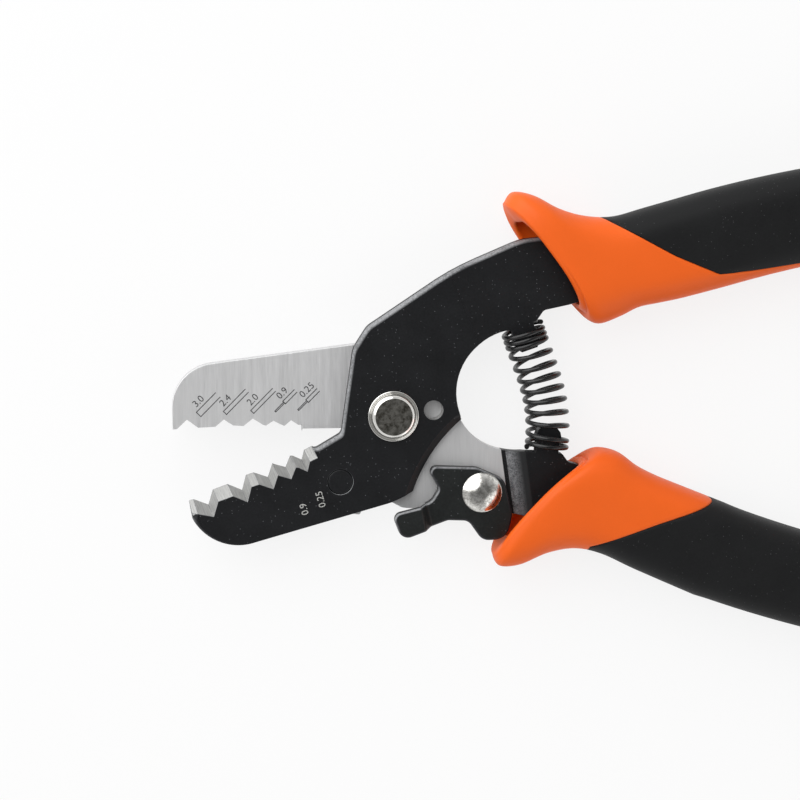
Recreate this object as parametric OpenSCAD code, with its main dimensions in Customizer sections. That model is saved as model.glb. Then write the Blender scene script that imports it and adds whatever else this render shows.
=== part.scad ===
// Fibre stripper: two crossing plate levers on one pivot, a bowed return spring,
// a swinging lock lever and two-colour hand grips. Millimetres.
// Origin: the pivot axis at the back face of the pivot nut, +X towards the handles, +Z to the front.

/* [Plates] */
// Thickness of each lever plate
plate_t = 2.5; // [2.2:0.1:2.8]
// Radius of the throat between the levers
throat_r = 11.8; // [11.3:0.1:12.1]
// Radius of the hole beside the pivot
side_hole_r = 1.87; // [1.2:0.05:2.2]

/* [Jaws] */
// Angle of the stripping teeth's bevel from the plate's normal
bevel = 41; // [30:1:45]
// Closing angle of the levers
close_angle = 23; // [21:0.5:24]
// Width of the chamfer round the lower jaw's nose
nose_chamfer = 1.1; // [0.4:0.1:1.6]
// Width of the bevel along the plate's lower right edge
edge_bevel = 1.5; // [0.6:0.1:1.9]

/* [Pivot] */
// Radius of the pivot bolt's head
head_r = 4.9; // [4.2:0.1:5.1]
// Height of the pivot bolt's head
head_h = 1.5; // [1.1:0.1:2.2]
// Radius of the bolt's shoulder in the plates
shoulder_r = 3.2; // [2.9:0.1:3.6]
// Radius of the bolt's threaded end
thread_r = 2.5; // [2:0.1:2.7]
// Radius of the washer behind the plates
washer_r = 5; // [4.7:0.1:5.4]
// Thickness of the washer behind the plates
washer_t = 1; // [0.6:0.1:1.4]
// Thickness of the pivot nut
nut_h = 4; // [3:0.1:4.6]
// Width of the pivot nut across its flats
nut_af = 8; // [7.4:0.1:8.6]

/* [Stop pin] */
// Radius of the stop pin
pin_r = 2.45; // [2.1:0.05:2.6]
// Distance that the stop pin stays short of the rear plate's back
pin_short = 0.2; // [0:0.1:0.6]

/* [Lock] */
// Thickness of the lock lever
lock_t = 2; // [1.6:0.1:2.2]
// Radius of the lock's nose
lock_nose_r = 1.15; // [0.9:0.05:1.25]
// Distance of the nose's centre from the rivet
lock_reach = 10.2; // [9.9:0.1:10.5]
// Thickness of the washer below the lock
lock_washer_t = 0.3; // [0.2:0.05:0.5]
// Radius of the washer below the lock
lock_washer_r = 3.6; // [3:0.1:4]
// Radius of the lock rivet's head
rivet_head_r = 3.9; // [3.4:0.1:4.2]
// Height of the lock rivet's domed head
rivet_head_h = 1.5; // [1:0.1:1.8]
// Radius of the lock rivet's shank
rivet_r = 1.9; // [1.5:0.1:2.3]
// Thickness of the rivet's head behind the rear plate
rivet_back_h = 0.9; // [0.6:0.1:1.2]

/* [Spring] */
// Diameter of the spring wire
wire_d = 0.95; // [0.8:0.05:1.05]
// Radius of the coil to the middle of the wire
coil_r = 3.85; // [3.7:0.05:4]
// Number of turns in the spring
turns = 12.5; // [10.5:0.5:13.5]
// Width of the posts that carry the spring
post_w = 4.5; // [3.6:0.1:4.7]
// Height of the posts that carry the spring
post_h = 4.9; // [3.5:0.1:5.2]

/* [Grips] */
// Thickness of the grips, front to back
grip_t = 15; // [14.4:0.2:16]
// Width of the grips near their middle
grip_w = 18.8; // [17.6:0.2:19.4]
// Length of each grip behind its guard
grip_len = 78; // [60:1:90]
// Turn of each grip along its length
grip_turn = 19; // [12:1:24]
// Wall of the guards round their mouths
guard_wall = 2; // [1.6:0.1:2.6]
// Depth of the pocket in the guards' mouths
pocket_depth = 9; // [6:0.5:10]

/* [Hidden] */
$fn = 64;

// Clearances
run_c = 0.05;      // a pin that turns in its hole
press_c = 0.02;    // a pin that is pressed or screwed in
stop_c = 0.03;     // the stop pin to its stops at the ends of the travel
path_c = 0.12;     // the stop pin beside its path
pocket_c = 0.12;   // the lock's nose in its notch
tang_c = 0.05;     // a tang in its grip

// Heights: the plates meet at z_mid, and the tangs are centred on it
z_mid = plate_t + washer_t + nut_h;
z_front = z_mid + plate_t;
z_back = z_mid - plate_t;
tang_lo = z_mid - plate_t / 2;
tang_hi = z_mid + plate_t / 2;

// Throat and lower right edge of the front plate
throat_c = [24, 4.3];
rear_throat_extra = 0.2;
edge_r = 30.9;
edge_near = [8.48, -6.29];
edge_c = edge_near + edge_r * [0.8032, -0.5957];
side_hole = [7.8, 1];
stop_at = [-10.2, -12.6];

// Joggles: direction across the fold, start and end of the slope
front_fold = [23, 20.45, 26.1];
rear_fold = [8.2, 20.87, 24.5];

// Teeth: distance from the pivot, half width and depth of each notch
jaw_dir = 205.9;
notch_at = [39.2, 32.2, 26.7, 22.8, 19.4];
low_half = [2.05, 1.95, 2.0, 1.75, 1.25];
low_valley = [0.3, -0.1, -0.1, 0.1, 0];
low_crest = [2.55, 2.2, 1.95, 1.7, 1.5];
up_half = [2.0, 1.7, 1.8, 1.45, 1.35];
up_peak = [1.6, 1.15, 0.95, 0.25, 0.12];
up_crest = [-0.1, -0.15, -0.35, -0.6, -0.9];
low_root = 16.5;
up_root = 17.4;

// Lock rivet's place on the rear lever, and the lock's angles
rivet_at = [17.3, -15.3];
nose_dir = 156;
lock_angle = -42;
lock_fold = [191.3, 10.9, 12.3];
tail_gap = 0.2;
tail_rise = plate_t + tail_gap - lock_washer_t;
lock_z = z_mid + lock_washer_t;

function polar(r, a) = [r * cos(a), r * sin(a)];
function turn2(p, a) = [p.x * cos(a) - p.y * sin(a), p.x * sin(a) + p.y * cos(a)];
function unit(v) = v / norm(v);
function mix(a, b, t) = a * (1 - t) + b * t;

// Outline with rounded corners: each corner is [x, y, radius]
function corner_arc(a, b, c) =
    let (r = b[2], p = [b.x, b.y])
    r <= 0 ? [p] :
    let (u = unit([a.x, a.y] - p), v = unit([c.x, c.y] - p),
         half = acos(max(-1, min(1, u * v))) / 2,
         room = 0.49 * min(norm([a.x, a.y] - p), norm([c.x, c.y] - p)),
         t = min(r / tan(half), room), rr = t * tan(half),
         m = p + unit(u + v) * (rr / sin(half)),
         s = p + u * t - m, e = p + v * t - m,
         a0 = atan2(s.y, s.x), da = atan2(s.x * e.y - s.y * e.x, s * e),
         n = max(2, ceil(abs(da) / 9)))
    [for (i = [0:n]) m + polar(rr, a0 + da * i / n)];
function rounded(pts) = let (n = len(pts))
    [for (i = [0:n - 1]) each corner_arc(pts[(i + n - 1) % n], pts[i], pts[(i + 1) % n])];

// One side of a tang; its points are [x, y, half width]
function tang_side(pts, side, grow) = let (n = len(pts))
    [for (i = [0:n - 1])
        let (a = pts[max(0, i - 1)], b = pts[min(n - 1, i + 1)], d = unit([b.x - a.x, b.y - a.y]))
        [pts[i].x - side * d.y * (pts[i][2] + grow), pts[i].y + side * d.x * (pts[i][2] + grow), 3]];
function reversed(v) = [for (i = [len(v) - 1:-1:0]) v[i]];

// Sheet with one joggle, seen along its fold: low is the sheet's underside before the slope
module bent_sheet(fold, low, rise, t) {
    far = 220;
    rotate([0, 0, fold[0]]) translate([0, far, 0]) rotate([90, 0, 0]) linear_extrude(2 * far)
        polygon([[-far, low], [fold[1], low], [fold[2], low + rise], [far, low + rise],
                 [far, low + rise + t], [fold[2], low + rise + t], [fold[1], low + t], [-far, low + t]]);
}

// Slanted cutter with a row of notches; side +1 cuts above the row, -1 below it
module notch_cutter(half, bottom, crest, root, side) {
    far = 48;
    k = cos(bevel);
    row = [for (i = [0:len(notch_at) - 1]) each
        [[notch_at[i] + half[i], crest[i]], [notch_at[i], bottom[i]], [notch_at[i] - half[i], crest[i]]]];
    edge = concat([[far, crest[0]]], row, [[root, crest[len(crest) - 1]]]);
    rotate([-bevel, 0, 0]) translate([0, 0, -12]) linear_extrude(24)
        polygon([for (p = concat(edge, [[root, side * 14], [far, side * 14]])) [p.x, -p.y * k]]);
}

// Spring post on a shoulder, with barbs: corners from its left to its right seen along dir
function post_side(at, dir, grow) =
    let (barb = 0.35, w = post_w / 2 + grow, h = post_h + grow,
         half = [[w, 0], [w, h * 0.45], [w + barb, h * 0.6], [w, h * 0.85], [w * 0.7, h]],
         all = concat([for (p = half) [-p.x, p.y]], reversed(half)))
    [for (p = all) let (q = at + turn2(p, dir - 90)) [q.x, q.y, 0]];
module post_keep(at, dir) {
    polygon([for (p = post_side(at, dir, 0.8)) [p.x, p.y]]);
}

front_post = [25.1, 16.85];
front_post_dir = -71.6;
rear_post = [30.2, -7.97];
rear_post_dir = 84.5;

// Tangs in the grips: centre and half width
front_tang = [[33, 27.4, 6.7], [40, 28.7, 6.1], [48, 30.3, 5.6], [61, 33.4, 5.2], [84, 38.4, 4.6],
    [112, 41.2, 4]];
rear_tang = [[35.5, -16.4, 6], [41, -18.6, 5.8], [48.5, -21.5, 5.6], [63, -27.7, 5.2], [86, -36.2, 4.6],
    [112, -42.4, 4]];

// Outlines: each corner is [x, y, radius]
front_jaw_root = [[-9.9, -3.2, 1.5], [-15.2, -6.3, 2], [-16.6, -5, 0]];
nose_r = 11.6;
nose_corner = [-39.65, -27.6];
jaw_heel = [-0.4, -16.9];
front_edge = concat([[-39.65, -8, 0], [nose_corner.x, nose_corner.y, nose_r], [jaw_heel.x, jaw_heel.y, 10],
    [4.1, -14.9, 0.5], [13, -6, 0], [18, 0, 0], [24, 4.3, 0], [21.6, 15.75, 0]],
    reversed(post_side(front_post, front_post_dir, 0)), [[28, 17.9, 0.8], [29.3, 19.8, 1.2]],
    tang_side(front_tang, -1, 0), reversed(tang_side(front_tang, 1, 0)),
    [[24.9, 33.5, 12], [10.7, 27.5, 30], [-4.9, 17.2, 3.5], [-7.6, 13, 4], [-9.2, 2, 20]], front_jaw_root);

rear_edge = concat([[-42, -6, 0], [-42, 9.4, 9.4], [-7, 13.6, 20], [3, 14, 8], [11, 9.5, 3], [24, 4.3, 0],
    [22.9, -7.5, 0]], post_side(rear_post, rear_post_dir, 0), [[33.2, -8.2, 0.9], [34.4, -9.9, 1.2]],
    tang_side(rear_tang, 1, 0),
    reversed(tang_side(rear_tang, -1, 0)), [[24, -20.1, 4],
    [13, -19.6, 6], [2, -18.4, 2], [0, -17.3, 1], [-5.6, -18.2, 0.3], [-6.2, -19.6, 0.4],
    [-8.7, -19.3, 0.4], [-10.2, -12.6, 0], [-12.9, -5.55, 0.3], [-9.5, -3.75, 0.3], [-9.5, -2.55, 0],
    [-17.2, -2.5, 0], [-17.6, -6, 0]]);

// Nose of the lock and, in the closed tool, its place in the front plate's notch
function nose_at(a) = rivet_at + polar(lock_reach, nose_dir + a);

module front_lever_plate() {
    color("dimgray") difference() {
        intersection() {
            translate([0, 0, -1]) linear_extrude(30) difference() {
                polygon(rounded(front_edge));
                difference() {
                    translate(throat_c) circle(r = throat_r, $fn = 120);
                    post_keep(front_post, front_post_dir);
                }
                translate(edge_c) circle(r = edge_r, $fn = 240);
                translate(side_hole) circle(r = side_hole_r);
                translate(stop_at) circle(r = pin_r + press_c);
                circle(r = shoulder_r + press_c);
                lock_notch();
            }
            bent_sheet(front_fold, z_mid, -plate_t / 2, plate_t);
        }
        translate([0, 0, z_mid]) rotate([0, 0, jaw_dir])
            notch_cutter(low_half, low_valley, low_crest, low_root, 1);
        translate([edge_c.x, edge_c.y, z_front - edge_bevel * 0.8])
            cylinder(h = edge_bevel * 0.8 + 0.01, r1 = edge_r, r2 = edge_r + edge_bevel, $fn = 240);
        nose_bevel();
    }
}

// Notch that takes the lock's nose when the tool is held closed
module lock_notch() {
    r = lock_nose_r + pocket_c;
    for (a = [0:-2:-10]) translate(turn2(nose_at(lock_angle + a), close_angle)) circle(r = r);
}

// Chamfer round the lower jaw's nose, fading out along its lower edge
module nose_bevel() {
    r = nose_r - nose_chamfer / 2 - 0.25;
    slope = atan2(jaw_heel.y - nose_corner.y, jaw_heel.x - nose_corner.x);
    c = [nose_corner.x + nose_r, nose_corner.y + nose_r * tan(slope) + nose_r / cos(slope)];
    deep = 4;
    translate([c.x + 0.15, c.y - 0.8, z_front - deep]) difference() {
        linear_extrude(deep + 0.01) polygon([[0, 0], polar(18, 176), polar(24, 228), polar(18, 280)]);
        translate([0, 0, -0.01]) cylinder(h = deep + 0.02, r1 = r + deep, r2 = r - 0.01, $fn = 160);
    }
}

// Path of the stop pin in the rear plate, from the open stop to the closed stop
module pin_path() {
    r = norm(stop_at);
    a = atan2(stop_at.y, stop_at.x);
    w = pin_r + path_c;
    translate(stop_at) circle(r = pin_r + stop_c);
    translate(turn2(stop_at, -close_angle)) circle(r = pin_r + stop_c);
    intersection() {
        difference() {
            circle(r = r + w, $fn = 160);
            circle(r = r - w, $fn = 160);
        }
        polygon([[0, 0], polar(40, a), polar(40, a - close_angle)]);
    }
}

module rear_lever_plate() {
    color("silver") difference() {
        intersection() {
            translate([0, 0, -1]) linear_extrude(30) difference() {
                polygon(rounded(rear_edge));
                difference() {
                    translate(throat_c) circle(r = throat_r + rear_throat_extra, $fn = 120);
                    post_keep(rear_post, rear_post_dir);
                }
                circle(r = shoulder_r + run_c);
                translate(rivet_at) circle(r = rivet_r + press_c);
                pin_path();
            }
            bent_sheet(rear_fold, z_back, plate_t / 2, plate_t);
        }
        translate([0, 0, z_mid]) rotate([0, 0, jaw_dir - close_angle])
            notch_cutter(up_half, up_peak, up_crest, up_root, -1);
    }
}

module pivot_bolt() {
    flat_r = 0.72 * head_r;
    color("gainsboro") rotate_extrude($fn = 96)
        polygon([[0, 0], [thread_r - 0.4, 0], [thread_r, 0.4], [thread_r, z_back + press_c],
                 [shoulder_r, z_back + press_c], [shoulder_r, z_front], [head_r, z_front],
                 [head_r, z_front + 0.35 * head_h], [head_r - 0.5, z_front + 0.75 * head_h],
                 [flat_r, z_front + head_h], [0, z_front + head_h]]);
}

module ring(r, hole, t) {
    difference() {
        cylinder(h = t, r = r, $fn = 96);
        translate([0, 0, -1]) cylinder(h = t + 2, r = hole, $fn = 96);
    }
}

module pivot_washer() {
    color("silver") translate([0, 0, nut_h]) ring(washer_r, thread_r + run_c, washer_t);
}

module pivot_nut() {
    chamfer = 0.5;
    corner_r = nut_af / 2 / cos(30);
    color("silver") difference() {
        intersection() {
            linear_extrude(nut_h) circle(r = corner_r, $fn = 6);
            rotate_extrude($fn = 96)
                polygon([[0, 0], [corner_r - chamfer, 0], [corner_r + 0.2, chamfer],
                         [corner_r + 0.2, nut_h], [0, nut_h]]);
        }
        translate([0, 0, -1]) cylinder(h = nut_h + 2, r = thread_r + press_c, $fn = 96);
    }
}

module stop_pin() {
    color("dimgray") translate([stop_at.x, stop_at.y, z_back + pin_short])
        cylinder(h = 2 * plate_t - pin_short, r = pin_r);
}

// Lock outline about the rivet; the nose's corner is set by its reach
lock_edge = let (n = polar(lock_reach, nose_dir), d = lock_nose_r)
    [[n.x - 1.35 * d, n.y + d, d], [-1, n.y + d * 0.6, 3], [4.4, 2.4, 2.5], [6.1, -4.5, 4], [5, -9.4, 3.3],
     [0.2, -9.6, 2.5], [-2.6, -5.6, 2], [-6.6, -5.4, 2], [-15.8, -8.7, 2], [-17.7, -3.6, 1.4],
     [-9.9, -1.8, 2.4], [-8.3, 0.8, 1.2]];

module lock_outline() {
    difference() {
        polygon(rounded(lock_edge));
        circle(r = rivet_r + run_c);
    }
}

module lock_lever() {
    color("dimgray") translate([rivet_at.x, rivet_at.y, 0]) intersection() {
        linear_extrude(30) lock_outline();
        bent_sheet(lock_fold, lock_z, tail_rise, lock_t);
    }
}

module lock_washer() {
    color("silver") translate([rivet_at.x, rivet_at.y, z_mid])
        ring(lock_washer_r, rivet_r + run_c, lock_washer_t);
}

module lock_rivet() {
    top = lock_z + lock_t + run_c;
    dome_r = (pow(rivet_head_r, 2) + pow(rivet_head_h, 2)) / (2 * rivet_head_h);
    color("gainsboro") translate([rivet_at.x, rivet_at.y, 0]) {
        translate([0, 0, z_back - rivet_back_h]) cylinder(h = rivet_back_h, r = rivet_head_r - 0.8);
        translate([0, 0, z_back - 0.1]) cylinder(h = top - z_back + 0.2, r = rivet_r);
        translate([0, 0, top]) intersection() {
            cylinder(h = rivet_head_h + 1, r = rivet_head_r);
            translate([0, 0, rivet_head_h - dome_r]) sphere(r = dome_r, $fn = 128);
        }
    }
}

// Spring: a coil round a bowed line between the two posts
seat_gap = 0.15;
spring_a = front_post + polar(wire_d / 2 + seat_gap, front_post_dir);
spring_b = rear_post + polar(wire_d / 2 + seat_gap, rear_post_dir);
spring_pull = 10;
spring_p = [spring_a, spring_a + polar(spring_pull, front_post_dir),
            spring_b + polar(spring_pull, rear_post_dir), spring_b];
tight_top = 3;
tight_low = 1.5;
function bow(t) = pow(1 - t, 3) * spring_p[0] + 3 * pow(1 - t, 2) * t * spring_p[1]
    + 3 * (1 - t) * t * t * spring_p[2] + pow(t, 3) * spring_p[3];
function bow_dir(t) = unit(3 * pow(1 - t, 2) * (spring_p[1] - spring_p[0])
    + 6 * (1 - t) * t * (spring_p[2] - spring_p[1]) + 3 * t * t * (spring_p[3] - spring_p[2]));
// Share of the line covered after k turns: close turns at both ends
function cover(k, close) =
    k < tight_top ? k * close
    : k > turns - tight_low ? 1 - (turns - k) * close
    : mix(tight_top * close, 1 - tight_low * close, (k - tight_top) / (turns - tight_top - tight_low));
function coil_point(k, r) =
    let (t = cover(k, 1.04 * wire_d / 25.5), c = bow(t), d = bow_dir(t), a = 360 * k + 180)
    [c.x + d.y * r * cos(a), c.y - d.x * r * cos(a), z_mid + r * sin(a)];

module return_spring() {
    per_turn = 14;
    sides = 8;
    n = ceil(turns * per_turn);
    rings = [for (i = [0:n])
        let (k = turns * i / n, p = coil_point(k, coil_r), q = coil_point(k + 0.002, coil_r),
             o = coil_point(k, coil_r - 1), tan = unit(q - p), out0 = unit(p - o),
             out = unit(out0 - tan * (out0 * tan)), side = cross(tan, out))
        for (j = [0:sides - 1])
            p + (out * cos(360 * j / sides) + side * sin(360 * j / sides)) * wire_d / 2];
    walls = [for (i = [0:n - 1]) for (j = [0:sides - 1])
        let (a = i * sides + j, b = i * sides + (j + 1) % sides)
        each [[a, b, b + sides], [a, b + sides, a + sides]]];
    first = [for (j = [0:sides - 1]) sides - 1 - j];
    last = [for (j = [0:sides - 1]) n * sides + j];
    color("dimgray") polyhedron(points = rings, faces = [for (f = concat(walls, [first], [last]))
        [for (i = [len(f) - 1:-1:0]) f[i]]]);
}

// Grips: each row is [outer x, outer y, inner x, inner y, share of the half thickness]
upper_rows = [[21.8, 40.5, 37.8, 18.4, 0.93], [23.4, 42.4, 38.5, 17.3, 1], [27.2, 41.8, 41, 17, 1.04],
    [32.1, 39.3, 44.4, 18.4, 1.02], [37.3, 37.8, 47.7, 20.2, 1], [43, 37.6, 51.7, 21, 1],
    [49.5, 39.3, 56.7, 22, 1.02], [60.6, 42.35, 65.5, 24.2, 1.04]];
lower_rows = [[19.4, -27.4, 38.3, -9.2, 0.93], [20.7, -29.9, 39, -8.5, 1], [24.7, -29.9, 41.6, -7.5, 1.04],
    [30, -27.7, 45, -8.5, 1.02], [35.5, -26.9, 48.3, -11.1, 1], [41, -28.2, 52, -13.1, 1],
    [47.8, -31.5, 56.9, -15.2, 1.02], [59.6, -36.9, 66.4, -19.1, 1.04]];

// Rows along the bowed handle and its rounded end; side is +1 above and -1 below
handle_steps = 9;
end_steps = 6;
function handle_row(last, heading, side, s, shrink) =
    let (mid0 = [(last[0] + last[2]) / 2, (last[1] + last[3]) / 2],
         turn = -side * grip_turn, r = grip_len / (grip_turn * PI / 180),
         h = heading + turn * s,
         mid = mid0 + side * r * [sin(heading) - sin(h), -cos(heading) + cos(h)] * 1,
         w = mix(grip_w, grip_w * 0.94, s) / 2 * shrink, out = polar(w, h + 90 * side))
    [mid.x + out.x, mid.y + out.y, mid.x - out.x, mid.y - out.y, 1.04 * shrink];
function smooth4(a, b, c, d, t) = 0.5 * (2 * b + (c - a) * t + (2 * a - 5 * b + 4 * c - d) * t * t
    + (3 * b - a - 3 * c + d) * t * t * t);
function fine(rows, sub) = let (n = len(rows))
    [for (i = [0:n - 2]) for (k = [0:sub - 1])
        smooth4(rows[max(0, i - 1)], rows[i], rows[i + 1], rows[min(n - 1, i + 2)], k / sub), rows[n - 1]];
function sleeve_rows(rows, heading, side) =
    let (last = rows[len(rows) - 1], tail = grip_w / 2 / grip_len)
    concat(fine(rows, 2),
        [for (i = [1:handle_steps]) handle_row(last, heading, side, (1 - tail) * i / handle_steps, 1)],
        [for (i = [1:end_steps]) let (a = 88 * i / end_steps)
            handle_row(last, heading, side, 1 - tail + tail * sin(a), cos(a))]);

// Section points of one row: an oval with flat front and back
function section(row, inset, n) =
    let (o = [row[0], row[1]], i = [row[2], row[3]], m = (o + i) / 2, u = unit(o - i),
         w = norm(o - i) / 2 - inset, flat = grip_t / 2 - inset, h = row[4] * grip_t / 2 - inset)
    [for (k = [0:n - 1])
        let (a = 360 * k / n, ca = cos(a), sa = sin(a), e = 0.72,
             x = sign(ca) * pow(abs(ca), e) * w, z = sign(sa) * pow(abs(sa), e) * h)
        [m.x + u.x * x, m.y + u.y * x, z_mid + max(-flat, min(flat, z))]];

// Skin through the rows; side is +1 above and -1 below
module loft(rows, inset, side) {
    n = 28;
    m = len(rows);
    pts = [for (r = rows) each section(r, inset, n)];
    walls = [for (i = [0:m - 2]) for (j = [0:n - 1])
        let (a = i * n + j, b = i * n + (j + 1) % n)
        each [[a, b, b + n], [a, b + n, a + n]]];
    caps = [[for (j = [0:n - 1]) n - 1 - j], [for (j = [0:n - 1]) (m - 1) * n + j]];
    polyhedron(points = pts, faces = [for (f = concat(walls, caps)) side > 0 ? reversed(f) : f]);
}

module sleeve(rows, heading, side) {
    loft(sleeve_rows(rows, heading, side), 0, side);
}

module tang_space(tang) {
    d = unit([tang[1].x - tang[0].x, tang[1].y - tang[0].y]);
    first = [tang[0].x - 2 * d.x, tang[0].y - 2 * d.y, tang[0][2]];
    n = len(tang) - 1;
    e = unit([tang[n].x - tang[n - 1].x, tang[n].y - tang[n - 1].y]);
    last = [tang[n].x + tang_c * e.x, tang[n].y + tang_c * e.y, tang[n][2]];
    path = concat([first], tang, [last]);
    edge = concat(tang_side(path, -1, tang_c), reversed(tang_side(path, 1, tang_c)));
    translate([0, 0, tang_lo - tang_c]) linear_extrude(plate_t + 2 * tang_c)
        polygon([for (p = edge) [p.x, p.y]]);
}

upper_heading = 15;
lower_heading = -21.5;
upper_split = [[40.1, 37.7], [53.6, 30.4], [62.2, 26.8], [69, 27.4], [82, 30]];
lower_split = [[38.1, -26], [51.3, -21.4], [64.5, -17.4]];

module upper_side() {
    translate([0, 0, -2]) linear_extrude(40)
        polygon(concat([[0, 60], [38.6, 60]], upper_split, [[82, 0], [0, 0]]));
}

module lower_side() {
    translate([0, 0, -2]) linear_extrude(40)
        polygon(concat([[0, -60], [36.6, -60]], lower_split, [[66, 0], [0, 0]]));
}

module pocket(rows, side) {
    first = rows[0];
    second = rows[1];
    lead = [for (k = [0:4]) first[k] - (k < 4 ? (second[k] - first[k]) : 0)];
    depth = pocket_depth / 9;
    loft(concat([lead], [for (i = [0:3]) i < 3 ? rows[i] : mix(rows[2], rows[3], depth)]), guard_wall, side);
}

module upper_grip() {
    color("black") difference() {
        sleeve(upper_rows, upper_heading, 1);
        upper_side();
        tang_space(front_tang);
    }
}

module upper_guard() {
    color("darkorange") difference() {
        intersection() {
            sleeve(upper_rows, upper_heading, 1);
            upper_side();
        }
        tang_space(front_tang);
        pocket(upper_rows, 1);
    }
}

module lower_grip() {
    color("black") difference() {
        sleeve(lower_rows, lower_heading, -1);
        lower_side();
        tang_space(rear_tang);
    }
}

module lower_guard() {
    color("darkorange") difference() {
        intersection() {
            sleeve(lower_rows, lower_heading, -1);
            lower_side();
        }
        tang_space(rear_tang);
        pocket(lower_rows, -1);
    }
}

front_lever_plate();
rear_lever_plate();
pivot_bolt();
pivot_washer();
pivot_nut();
stop_pin();
return_spring();
lock_lever();
lock_washer();
lock_rivet();
upper_grip();
upper_guard();
lower_grip();
lower_guard();
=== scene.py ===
import math

import bmesh
import bpy
from mathutils import Matrix, Vector


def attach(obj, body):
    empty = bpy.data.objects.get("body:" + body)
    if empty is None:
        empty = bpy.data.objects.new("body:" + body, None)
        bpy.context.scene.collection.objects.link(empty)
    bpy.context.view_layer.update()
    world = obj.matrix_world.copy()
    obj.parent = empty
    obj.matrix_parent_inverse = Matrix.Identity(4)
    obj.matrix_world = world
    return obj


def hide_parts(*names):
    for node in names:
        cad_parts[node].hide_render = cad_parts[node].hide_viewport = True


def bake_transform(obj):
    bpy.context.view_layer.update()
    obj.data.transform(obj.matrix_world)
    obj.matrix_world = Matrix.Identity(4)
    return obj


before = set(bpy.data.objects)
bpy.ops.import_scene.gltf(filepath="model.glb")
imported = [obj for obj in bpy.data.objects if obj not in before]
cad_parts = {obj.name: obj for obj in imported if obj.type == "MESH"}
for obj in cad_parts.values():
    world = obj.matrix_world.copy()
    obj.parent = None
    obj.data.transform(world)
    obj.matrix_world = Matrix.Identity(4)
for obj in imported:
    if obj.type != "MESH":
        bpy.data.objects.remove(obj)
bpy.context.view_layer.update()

MM = 0.001
FACE = 7.5          # height at which the two plates meet
PLATE = 2.5         # thickness of a plate
JAW = 205.9         # direction of the row of teeth
PIVOT_HEAD = 10.0   # height of the front plate's face
RIVET = (17.3, -15.3)
LOCK_Z = 7.8
LOCK_T = 2.0
NOSE = (-29.65, -14.52)     # middle and radius of the front jaw's round nose
NOSE_R = 10.0


def polar(r, degrees):
    return Vector((math.cos(math.radians(degrees)), math.sin(math.radians(degrees)))) * r


# ---------------------------------------------------------------- materials

def shade_group(name, inputs, outputs, build):
    group = bpy.data.node_groups.new(name, "ShaderNodeTree")
    for label, kind, value in inputs:
        socket = group.interface.new_socket(name=label, in_out="INPUT", socket_type=kind)
        if value is not None:
            socket.default_value = value
    for label, kind in outputs:
        group.interface.new_socket(name=label, in_out="OUTPUT", socket_type=kind)
    start = group.nodes.new("NodeGroupInput")
    end = group.nodes.new("NodeGroupOutput")
    build(group, start, end)
    return group


def add(tree, kind, **settings):
    node = tree.nodes.new(kind)
    for key, value in settings.items():
        if key.startswith("in_"):
            node.inputs[key[3:].replace("_", " ")].default_value = value
        else:
            setattr(node, key, value)
    return node


def math_node(tree, operation, a, b=None, clamp=False):
    node = add(tree, "ShaderNodeMath", operation=operation, use_clamp=clamp)
    for socket, value in zip(node.inputs, (a, b)):
        if value is None:
            continue
        if isinstance(value, (int, float)):
            socket.default_value = value
        else:
            tree.links.new(value, socket)
    return node.outputs[0]


def remap(tree, value, low, high, to_low=0.0, to_high=1.0):
    node = add(tree, "ShaderNodeMapRange")
    tree.links.new(value, node.inputs["Value"])
    for label, number in (("From Min", low), ("From Max", high), ("To Min", to_low), ("To Max", to_high)):
        node.inputs[label].default_value = number
    return node.outputs["Result"]


def stretched(tree, vector, scale):
    node = add(tree, "ShaderNodeMapping")
    tree.links.new(vector, node.inputs["Vector"])
    node.inputs["Scale"].default_value = scale
    return node.outputs["Vector"]


def noise(tree, vector, scale, detail=2.0, rough=0.5):
    node = add(tree, "ShaderNodeTexNoise", in_Scale=scale, in_Detail=detail, in_Roughness=rough)
    tree.links.new(vector, node.inputs["Vector"])
    return node.outputs["Fac"]


def build_dust(group, start, end):
    """Scattered pale specks of uneven shape, thicker in some places than in others."""
    spots = add(group, "ShaderNodeTexVoronoi", feature="F1", in_Randomness=1.0)
    group.links.new(start.outputs["Vector"], spots.inputs["Vector"])
    group.links.new(start.outputs["Scale"], spots.inputs["Scale"])
    ragged = noise(group, start.outputs["Vector"], 9000.0, 2.0)
    reach = math_node(group, "SUBTRACT", spots.outputs["Distance"], math_node(group, "MULTIPLY", ragged, 0.24))
    dot = remap(group, reach, 0.02, -0.05)
    pick = add(group, "ShaderNodeSeparateColor")
    group.links.new(spots.outputs["Color"], pick.inputs["Color"])
    patch = noise(group, start.outputs["Vector"], 150.0, 2.0)
    level = math_node(group, "ADD", pick.outputs["Red"], math_node(group, "MULTIPLY", patch, 1.3))
    chosen = math_node(group, "GREATER_THAN", level, start.outputs["Level"])
    out = math_node(group, "MULTIPLY", dot, chosen, clamp=True)
    group.links.new(out, end.inputs["Mask"])


DUST = shade_group("dust", [("Vector", "NodeSocketVector", None), ("Scale", "NodeSocketFloat", 2200.0),
                            ("Level", "NodeSocketFloat", 1.3)],
                   [("Mask", "NodeSocketFloat")], build_dust)


def build_mottle(group, start, end):
    """Two layers of noise as a value about a middle of one half."""
    coarse = noise(group, start.outputs["Vector"], 160.0, 3.0, 0.6)
    fine = add(group, "ShaderNodeTexNoise", in_Detail=3.0)
    group.links.new(start.outputs["Vector"], fine.inputs["Vector"])
    group.links.new(start.outputs["Scale"], fine.inputs["Scale"])
    both = math_node(group, "ADD", math_node(group, "MULTIPLY", coarse, 0.45),
                     math_node(group, "MULTIPLY", fine.outputs["Fac"], 0.55))
    group.links.new(both, end.inputs["Value"])


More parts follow.
